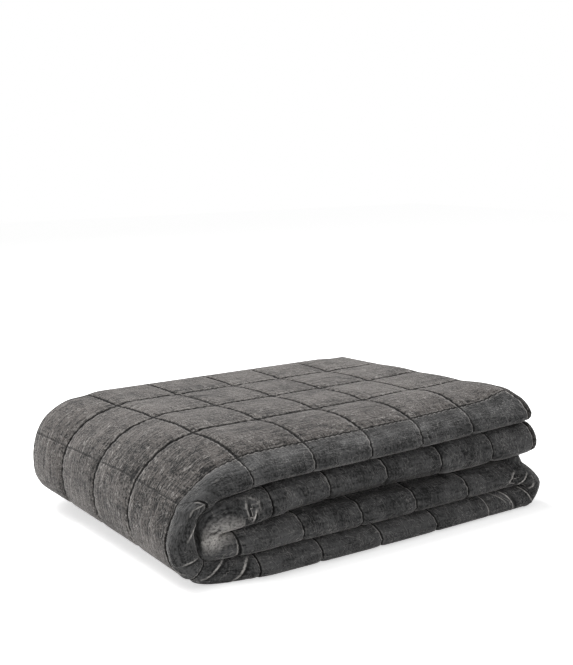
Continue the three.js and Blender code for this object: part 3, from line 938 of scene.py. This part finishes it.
class NodeTree:
    """A tree of nodes. add() makes any node, its settings first and then its sockets."""

    def __init__(self, tree):
        self.nodes = tree.nodes
        self.links = tree.links
        self.nodes.clear()

    def add(self, kind, settings=None, inputs=(), output=0):
        node = self.nodes.new(kind)
        for key, value in (settings or {}).items():
            setattr(node, key, value)
        pairs = inputs.items() if isinstance(inputs, dict) else enumerate(inputs)
        for key, value in pairs:
            if isinstance(value, Socket):
                self.links.new(value.socket, node.inputs[key])
            elif value is not None:
                node.inputs[key].default_value = value
        return Socket(self, node.outputs[output]) if node.outputs else None


class Shader(NodeTree):
    """A node material."""

    def __init__(self, name):
        self.material = bpy.data.materials.new(name)
        self.material.use_nodes = True
        super().__init__(self.material.node_tree)

    def parts(self, name):
        """The three numbers of a vector attribute."""
        vector = self.add("ShaderNodeAttribute", {"attribute_name": name}, output="Vector")
        return [self.add("ShaderNodeSeparateXYZ", {}, (vector,), output=k) for k in range(3)]

    def noise(self, vector, scale, detail=4.0, roughness=0.55, distortion=0.0):
        inputs = {"Vector": vector, "Scale": scale, "Detail": detail,
                  "Roughness": roughness, "Distortion": distortion}
        return self.add("ShaderNodeTexNoise", {}, inputs)

    def stretch(self, vector, scale, turn=0.0):
        inputs = {"Vector": vector, "Rotation": (0, 0, turn), "Scale": scale}
        return self.add("ShaderNodeMapping", {}, inputs)

    def between(self, value, low, high, to_low=0.0, to_high=1.0):
        settings = {"interpolation_type": "SMOOTHSTEP", "clamp": True}
        return self.add("ShaderNodeMapRange", settings, (value, low, high, to_low, to_high))

    def without_sign(self, value):
        return self.add("ShaderNodeMath", {"operation": "ABSOLUTE"}, (value,))

    def larger(self, first, second):
        return self.add("ShaderNodeMath", {"operation": "MAXIMUM"}, (first, second))

    def ridge_lines(self, noise, width):
        """Thin lines where a noise passes its middle."""
        return self.between(self.without_sign(noise - 0.5), width, 0.0)

    def blend(self, factor, first, second):
        inputs = {"Factor": factor, 6: first, 7: second}
        return self.add("ShaderNodeMix", {"data_type": "RGBA"}, inputs, output=2)


def pile(s, colour, sheen, roughness, bump):
    """Velvet pile of one height, with the soft light that it catches at its edges."""
    return s.add("ShaderNodeBsdfPrincipled", {}, {
        "Base Color": colour,
        "Roughness": roughness,
        "Specular IOR Level": 0.15,
        "Sheen Weight": sheen,
        "Sheen Roughness": 0.32,
        "Sheen Tint": (0.95, 0.92, 0.9, 1),
        "Normal": bump,
    })


# Marks beside a seam, the hem or a crease, in metres from it: where each is not there yet, and
# where it is whole. The seam and hem lines are painted shade in their grooves, and their edges are a
# painted highlight beside them.
GATHERS = (0.022, 0.002)
SEAM_SHADE = (0.0016, 0.0008)
SEAM_HIGHLIGHT = ((0.0012, 0.0017), (0.0034, 0.0023))
HEM_SHADE = (0.0024, 0.0018)
HEM_HIGHLIGHT = ((0.0021, 0.0027), (0.0048, 0.0036))
CREASE_LINE = (0.0019, 0.0007)
CREASE_SHADE = (0.0028, 0.0008)
SHADE_PLACE = 0.0034
SEAM_WOBBLE = 0.0009


def seam_marks(s, cloth, patches):
    """What the quilting does to the pile: gathers beside it, a dark line of painted shade in it, and
    a pale edge of painted highlight by it, strongest on its lit side. The hem gets a line and an edge
    the same way.
    """
    to_cross, to_long, to_hem = s.parts("seam")
    lit_cross, lit_long, faint = s.parts("lit_side")
    wobble = (s.noise(cloth, 160, 2, 0.5) - 0.5) * SEAM_WOBBLE
    gathers = (
        (s.noise(s.stretch(cloth, (30, 125, 30)), 1, 3, 0.6, 0.5) - 0.5)
        * s.between(to_cross, *GATHERS)
        + (s.noise(s.stretch(cloth, (125, 30, 30)), 1, 3, 0.6, 0.5) - 0.5)
        * s.between(to_long, *GATHERS)
    )
    kept = 1 - faint * s.between(s.noise(cloth, 70, 2, 0.6), 0.62, 0.44, 0.75, 1.0)
    # The dark seam lines: painted shade in their grooves.
    shade_cross = s.between(to_cross + wobble, *SEAM_SHADE) * kept
    shade_long = s.between(to_long + wobble, *SEAM_SHADE)
    # The pale seam edges: painted highlight, full on a seam's lit side.
    highlight = [
        s.between(away + wobble, *SEAM_HIGHLIGHT[0]) * s.between(away, *SEAM_HIGHLIGHT[1]) * side
        for away, side in ((to_cross, s.between(lit_cross, 0.2, 0.9, 0.2, 1.0) * kept * kept),
                           (to_long, s.between(lit_long, 0.2, 0.9, 0.5, 1.0)))
    ]
    pale = s.larger(highlight[0], highlight[1]) * s.between(patches, 0.36, 0.6, 0.5, 1.0)
    # A painted highlight and a line of painted shade along the hem.
    hem_highlight = s.between(to_hem + wobble, *HEM_HIGHLIGHT[0]) * s.between(to_hem + wobble, *HEM_HIGHLIGHT[1])
    line = s.larger(s.larger(shade_cross, shade_long), s.between(to_hem, *HEM_SHADE))
    return gathers, line, s.larger(pale * 0.85, hem_highlight * 0.9)


def crease_marks(s):
    """The pale line along each crease, partly wear and partly painted highlight, and the painted
    shade on its steep side.
    """
    beside, pale, shade = s.parts("crease")
    off_line = s.without_sign(beside)
    off_shade = s.without_sign(beside - SHADE_PLACE)
    return (pale * s.between(off_line, *CREASE_LINE), shade * s.between(off_shade, *CREASE_SHADE))


RIDGE_BEND = (90.0, 420.0)  # curvature, per metre, from which a ridge is worn
# curvature, per metre, from which a groove gets painted shade
GROOVE_SHADE_BEND = (-260.0, -900.0)
FRONT_PILE = (0.117, 0.117, 0.117, 1)  # the pile that is brushed up on the fronts
# The near-black that the painted shade in seams, grooves, crease sides and hollows goes to.
PAINTED_SHADE_PILE = (0.004, 0.004, 0.004, 1)


def velvet(name, dark, light, wear_and_highlight_colour, seams):
    """Stonewashed velvet: mottled and brushed pile, fine creases, and pale wear on its ridges.

    Pile that lies flat is dark with little sheen, and pile that is brushed up is pale with more.
    Painted shade darkens the grooves, and with seams also the seam and hem lines, crease sides,
    hollows and fronts. A painted highlight pales one side of each seam and the hem's edge, and crease
    ridges are pale partly from wear and partly as painted highlight.
    """
    s = Shader(name)
    cloth = s.add("ShaderNodeAttribute", {"attribute_name": "cloth"}, output="Vector")
    bend = s.add("ShaderNodeAttribute", {"attribute_name": "bend"}, output="Fac")
    light = (*light, 1)
    clouds = s.noise(cloth, 12, 3, 0.6)
    patches = s.noise(cloth, 70, 5, 0.7, 1.2)
    brushed = s.noise(s.stretch(cloth, (34, 300, 60), 0.12), 1, 2, 0.6, 0.6)
    slanted = s.noise(s.stretch(cloth, (230, 46, 60), 0.9), 1, 2, 0.6, 1.0)
    grain = s.noise(cloth, 400, 1, 0.6)
    mottle = (
        (clouds - 0.5) * 0.9 + (patches - 0.5) * 0.6 + (brushed - 0.5) * 1.5
        + (slanted - 0.5) * 1.0 + (grain - 0.5) * 1.9
    )
    tone = mottle + 0.5
    vein = s.ridge_lines(s.noise(cloth, 42, 2, 0.5, 1.8), 0.014)
    slanted_vein = s.ridge_lines(s.noise(s.stretch(cloth, (34, 80, 30), 0.7), 1, 2, 0.5, 1.2), 0.015)
    vein = vein * s.between(clouds, 0.34, 0.52) * s.between(patches, 0.32, 0.5)
    slanted_vein = slanted_vein * s.between(patches, 0.4, 0.56)
    height = patches * 0.6 + brushed * 0.8 + grain * 0.4 + vein * 0.4 + slanted_vein * 0.35
    ridges = s.between(bend, *RIDGE_BEND) * s.between(tone, 0.3, 0.7, 0.15, 0.5)
    veins = s.larger(vein, slanted_vein)
    wear_and_highlight = s.larger(ridges, veins * 0.6)
    # Painted shade where the cloth curves into a groove.
    groove = s.between(bend, *GROOVE_SHADE_BEND) * 0.6
    if seams:
        gathers, line, highlight = seam_marks(s, cloth, patches)
        crease_wear_and_highlight, shaded = crease_marks(s)
        # Painted shade of the hollows and of the fronts (pressed), and how much of a front each point
        # is.
        hollow_shade, pressed, on_front = s.parts("shade_and_front")
        folds = (s.noise(cloth, 34, 2, 0.5) - 0.5) * on_front
        height = height + gathers * 2.0
        # The tone is lighter where the gathers rise and darker where they sink: painted light and
        # shade of the gathers.
        tone = mottle * (1 - on_front * 0.45) + folds * 0.8 + gathers * 1.1 - pressed * 0.1 + 0.5
        # Pale lines: painted highlight beside seams and the hem, and crease ridges, partly wear and
        # partly painted highlight.
        lines = s.larger(highlight, crease_wear_and_highlight * s.between(grain, 0.3, 0.6, 0.6, 1.0))
        wear_and_highlight = s.larger(ridges * (1 - on_front * 0.95), veins * (0.6 - on_front * 0.25))
        # The pale pile takes both real wear and the painted highlights.
        wear_and_highlight = s.larger(wear_and_highlight, lines * (on_front * 0.35 + 0.65))
        light = s.blend(on_front, light, FRONT_PILE)
        # Painted shade: the seam and hem lines, the shaded sides of creases and the hollows join the
        # grooves'.
        groove = s.larger(s.larger(groove, line), s.larger(shaded * 0.8, hollow_shade * 0.95))
    bump = s.add("ShaderNodeBump", {}, {"Strength": 0.7, "Distance": 0.0022, "Height": height})
    raised = s.between(tone, 0.02, 0.98)
    roughness = s.between(patches, 0.3, 0.7, 0.8, 0.95)
    lying = pile(s, s.blend(raised, (*dark, 1), light), 0.4, roughness, bump)
    brushed_up = pile(s, s.blend(wear_and_highlight, light, (*wear_and_highlight_colour, 1)), 0.8, roughness, bump)
    # A near-black pile that the painted shade mixes in.
    painted_shade = pile(s, PAINTED_SHADE_PILE, 0.02, 0.9, bump)
    surface = s.add("ShaderNodeMixShader", {}, (s.larger(raised * 0.9, wear_and_highlight), lying, brushed_up))
    surface = s.add("ShaderNodeMixShader", {}, (groove * 0.92, surface, painted_shade))
    s.add("ShaderNodeOutputMaterial", {}, {"Surface": surface})
    return s.material


def thread():
    """Dark sewing thread, with the twist of its strands."""
    s = Shader("thread")
    place = s.add("ShaderNodeTexCoord", {}, output="Object")
    twist = s.noise(place, 1400, 2, 0.6)
    bump = s.add("ShaderNodeBump", {}, {"Strength": 0.4, "Distance": 0.0003, "Height": twist})
    s.add("ShaderNodeOutputMaterial", {}, {"Surface": s.add("ShaderNodeBsdfPrincipled", {}, {
        "Base Color": s.blend(twist, (0.006, 0.006, 0.006, 1), (0.03, 0.029, 0.028, 1)),
        "Roughness": 0.7,
        "Sheen Weight": 0.15,
        "Normal": bump,
    })})
    return s.material


# ---- Stitches ----

STITCH = {"Spacing": 4.6, "Length": 3.4, "Thickness": 0.8}
THREAD_LIFT = 0.25  # how far the middle of the thread stands above the bottom of the seam


def stitch_tree(material):
    """Short rounded stitches laid along the lines of a mesh."""
    tree = bpy.data.node_groups.new("stitches", "GeometryNodeTree")
    tree.interface.new_socket("Geometry", in_out="INPUT", socket_type="NodeSocketGeometry")
    for name in STITCH:
        tree.interface.new_socket(name, in_out="INPUT", socket_type="NodeSocketFloat")
    tree.interface.new_socket("Geometry", in_out="OUTPUT", socket_type="NodeSocketGeometry")
    g = NodeTree(tree)
    lines, spacing, length, thickness = (
        g.add("NodeGroupInput", {}, output=name) for name in ("Geometry", *STITCH))
    curve = g.add("GeometryNodeMeshToCurve", {}, (lines,))
    curve = g.add("GeometryNodeResampleCurve", {"mode": "LENGTH"},
                  {"Curve": curve, "Length": spacing})
    tangent = g.add("GeometryNodeInputTangent")
    turn = g.add("FunctionNodeAlignRotationToVector", {"axis": "X"}, {"Vector": tangent})
    one = g.add("GeometryNodeMeshUVSphere", {}, {"Segments": 6, "Rings": 4, "Radius": 0.5})
    size = g.add("ShaderNodeCombineXYZ", {}, (length, thickness, thickness))
    row = g.add("GeometryNodeInstanceOnPoints", {},
                {"Points": curve, "Instance": one, "Rotation": turn, "Scale": size})
    solid = g.add("GeometryNodeRealizeInstances", {}, (row,))
    solid = g.add("GeometryNodeSetMaterial", {}, {"Geometry": solid, "Material": material})
    g.add("NodeGroupOutput", {}, (solid,))
    return tree


def stitched_runs():
    """Points (u, v) along each seam that shows, 5 mm apart."""
    front = LONG_SEAMS[3]
    runs = []
    for seam in CROSS_SEAMS:
        start = EDGE_V[0] if seam < BOTTOM_SEAMS[0] else front
        v = np.arange(start + 3, front + 64, 5.0)
        runs.append((np.full_like(v, seam), v))
    for seam in LONG_SEAMS[:4]:
        u = np.arange(EDGE_U[0] + 3, BOTTOM_SEAMS[0], 5.0)
        runs.append((u, np.full_like(u, seam)))
    return runs


def stitches_piece(material):
    """The stitching of the seams that show, lying in their grooves."""
    points, edges = [], []
    for u, v in stitched_runs():
        w = QUILT_THICKNESS / 2 + relief(u, v, np.zeros_like(u)) + crease_field(u, v)[0]
        line = cloth_points(slipped(u, v), v, w + row_bulge(u, v) + THREAD_LIFT)
        edges += [(len(points) + k, len(points) + k + 1) for k in range(len(u) - 1)]
        points += line.tolist()
    lines = bpy.data.meshes.new("seam_lines")
    lines.from_pydata(points, edges, [])
    carrier = bpy.data.objects.new("seam_lines", lines)
    bpy.context.scene.collection.objects.link(carrier)
    modifier = carrier.modifiers.new("stitches", "NODES")
    modifier.node_group = stitch_tree(material)
    for item in modifier.node_group.interface.items_tree:
        if item.in_out == "INPUT" and item.name in STITCH:
            modifier[item.identifier] = STITCH[item.name] * MM
    evaluated = carrier.evaluated_get(bpy.context.evaluated_depsgraph_get())
    mesh = bpy.data.meshes.new_from_object(evaluated)
    bpy.data.objects.remove(carrier)
    mesh.shade_smooth()
    stitches = bpy.data.objects.new("bedspread_stitches", mesh)
    bpy.context.scene.collection.objects.link(stitches)
    return stitches


# ---- The scene ----

ROOM_LIGHT = 0.43  # strength of the white room's own light on the cloth
FLOOR_GLOW = 0.6  # what the floor adds to its own light where it is looked at
FLOOR_HALF = 6.0  # from its middle to its edge

# The camera stands low and to the left of the front and looks slightly down at the stack.
CAMERA_PLACE = (-1.0658, -1.4045, 0.541)
CAMERA_TURNS = {"azimuth": -37.6, "down": 9.1, "roll": -0.17}
CAMERA_LENS = 65.77


def camera():
    azimuth, down, roll = (math.radians(CAMERA_TURNS[name]) for name in ("azimuth", "down", "roll"))
    back = Vector((math.sin(azimuth) * math.cos(down), -math.cos(azimuth) * math.cos(down),
                   math.sin(down)))
    level = Vector((math.cos(azimuth), math.sin(azimuth), 0))
    upright = back.cross(level)
    right = math.cos(roll) * level + math.sin(roll) * upright
    up = math.cos(roll) * upright - math.sin(roll) * level
    data = bpy.data.cameras.new("camera")
    data.sensor_width = 36.0
    data.lens = CAMERA_LENS
    obj = bpy.data.objects.new("camera", data)
    turn = Matrix((right, up, back)).transposed().to_4x4()
    obj.matrix_world = Matrix.Translation(CAMERA_PLACE) @ turn
    bpy.context.scene.collection.objects.link(obj)
    bpy.context.scene.camera = obj


# Soft lamps, aimed at the stack: name, place, size and watts.
LAMPS = (
    ("soft_top", (-0.3, 1.5, 2.1), 2.0, 88),
    ("soft_left", (-2.4, 0.2, 1.1), 1.6, 5),
)
LAMP_TARGET = (0, 0, 0.1)


def lamp(name, place, size, watts):
    data = bpy.data.lights.new(name, "AREA")
    data.shape = "RECTANGLE"
    data.size = data.size_y = size
    data.energy = watts
    obj = bpy.data.objects.new(name, data)
    aim = (Vector(LAMP_TARGET) - Vector(place)).to_track_quat("-Z", "Y")
    obj.matrix_world = Matrix.Translation(place) @ aim.to_matrix().to_4x4()
    bpy.context.scene.collection.objects.link(obj)


def background_seen(tree):
    """1 where the background is looked at, straight or in a shine, and 0 where it only lights."""
    seen = tree.add("ShaderNodeLightPath", {}, output="Is Camera Ray")
    for ray in ("Is Glossy Ray", "Is Transmission Ray"):
        other = tree.add("ShaderNodeLightPath", {}, output=ray)
        seen = tree.add("ShaderNodeMath", {"operation": "MAXIMUM"}, (seen, other))
    return seen


def studio():
    """A white room: the floor bounces light, and to the eye it is white but for the shadow."""
    s = Shader("white_floor")
    seen = background_seen(s)
    white = s.add("ShaderNodeBsdfDiffuse", {}, {"Color": (0.9, 0.9, 0.9, 1)})
    glow = s.add("ShaderNodeEmission", {}, {"Color": (1, 1, 1, 1), "Strength": seen * FLOOR_GLOW})
    lit = s.add("ShaderNodeAddShader", {}, (white, glow))
    s.add("ShaderNodeOutputMaterial", {}, {"Surface": lit})
    corners = ((-1, -1, 0), (1, -1, 0), (1, 1, 0), (-1, 1, 0))
    points = np.array(corners) * FLOOR_HALF
    floor = make_object("floor", points, [[0, 1, 2, 3]], s.material)
    world = bpy.data.worlds.new("studio")
    world.use_nodes = True
    w = NodeTree(world.node_tree)
    strength = background_seen(w) * (1 - ROOM_LIGHT) + ROOM_LIGHT
    white = w.add("ShaderNodeBackground", {}, {"Color": (1, 1, 1, 1), "Strength": strength})
    w.add("ShaderNodeOutputWorld", {}, {"Surface": white})
    bpy.context.scene.world = world
    for settings in LAMPS:
        lamp(*settings)
    bpy.context.scene.view_settings.view_transform = "Standard"


camera()
quilt_velvet = velvet("velvet", (0.0135, 0.0138, 0.014), (0.13, 0.118, 0.11),
                      (0.7, 0.67, 0.64), seams=True)
binding_velvet = velvet("binding_velvet", (0.012, 0.012, 0.012), (0.06, 0.056, 0.053),
                        (0.42, 0.4, 0.385), seams=False)
quilt = quilt_piece(quilt_velvet)
binding = binding_piece(binding_velvet)
stitches = stitches_piece(thread())
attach(stitches, "root")
for piece, node, slot in (
    (quilt, "quilted_panel", "velvet"),
    (binding, "edge_binding", "binding_velvet"),
):
    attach(piece, "root")
    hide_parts(node)
studio()
